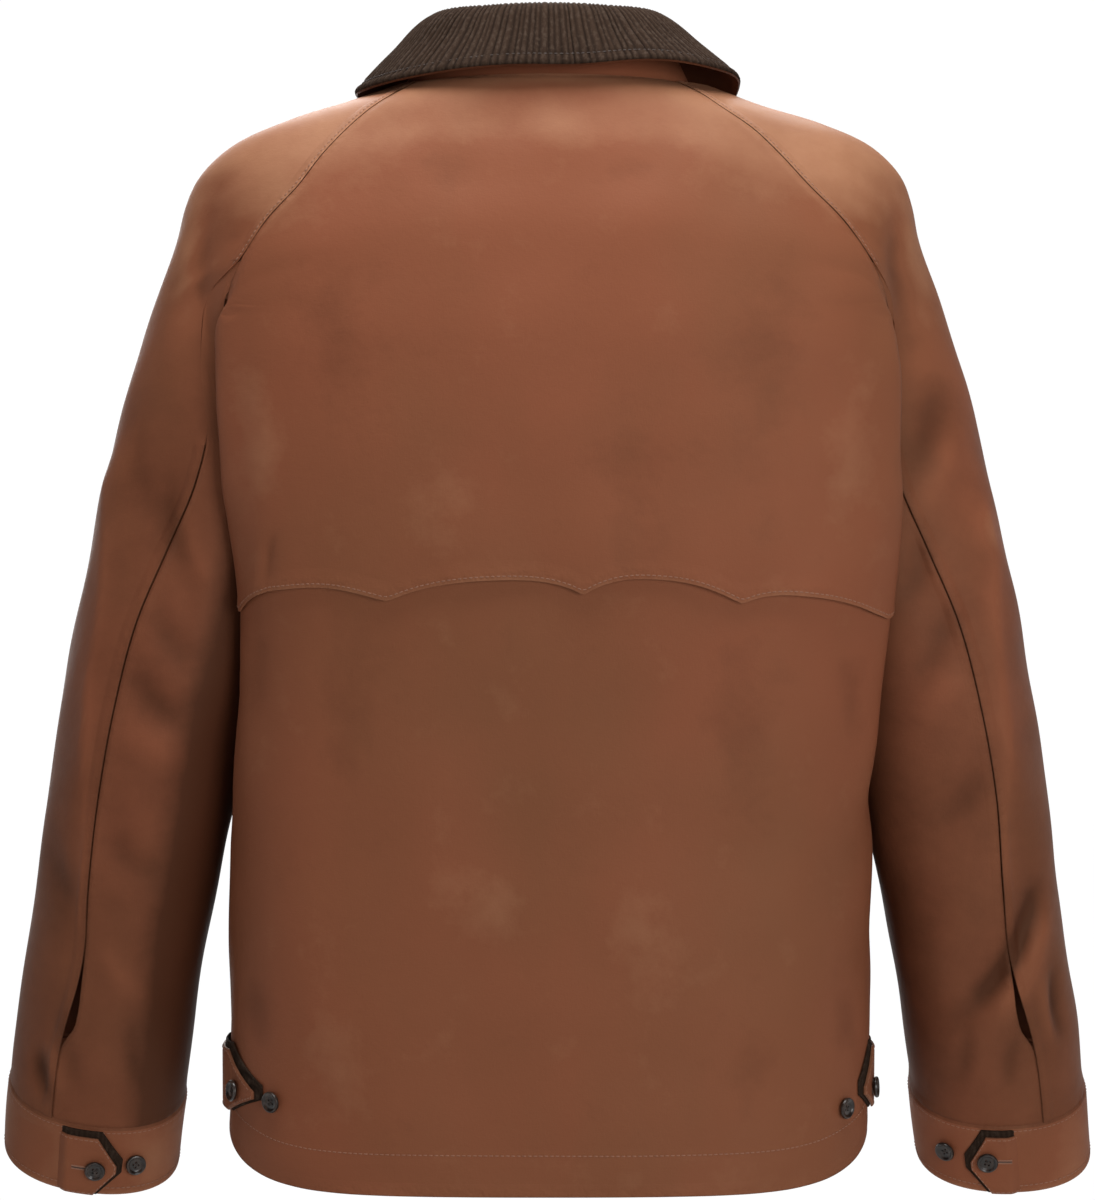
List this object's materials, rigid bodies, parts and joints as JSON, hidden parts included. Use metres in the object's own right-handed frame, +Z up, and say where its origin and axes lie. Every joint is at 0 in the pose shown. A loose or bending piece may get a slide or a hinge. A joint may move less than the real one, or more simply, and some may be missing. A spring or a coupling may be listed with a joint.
{
  "type": "waxed cotton jacket",
  "caption": "Hip-length raglan jacket in its worn, hollow shape, with a scalloped storm cape on the back, a turned-down corduroy collar, cuff and hem straps and a buttoned front",
  "frame": {"origin": "the middle of the neck opening at the height of the back neck seam, where the wearer's neck and shoulders hold the jacket", "axes": "+Z up, -Y the way the front faces, +X the wearer's left"},
  "size_m": [0.7646, 0.283, 0.8139],
  "materials": {
    "waxed_cotton": "waxed, dull sheen",
    "corduroy": "matte ribbed pile",
    "horn": "polished"
  },
  "bodies": {
    "root": {"back": "waxed_cotton", "back_cape": "waxed_cotton", "collar_top": "corduroy", "collar_under": "waxed_cotton", "cuff_button_left": "horn", "cuff_button_left_spare": "horn", "cuff_button_right": "horn", "cuff_button_right_spare": "horn", "cuff_left": "waxed_cotton", "cuff_right": "waxed_cotton", "cuff_tab_facing_left": "corduroy", "cuff_tab_facing_right": "corduroy", "cuff_tab_left": "waxed_cotton", "cuff_tab_right": "waxed_cotton", "front_button_1": "horn", "front_button_2": "horn", "front_button_3": "horn", "front_button_4": "horn", "front_button_5": "horn", "front_left": "waxed_cotton", "front_placket": "waxed_cotton", "front_right": "waxed_cotton", "hem_button_left": "horn", "hem_button_left_spare": "horn", "hem_button_right": "horn", "hem_button_right_spare": "horn", "hem_tab_facing_left": "corduroy", "hem_tab_facing_right": "corduroy", "hem_tab_left": "waxed_cotton", "hem_tab_right": "waxed_cotton", "top_sleeve_left": "waxed_cotton", "top_sleeve_right": "waxed_cotton", "under_sleeve_left": "waxed_cotton", "under_sleeve_right": "waxed_cotton"}
  },
  "joints": []
}
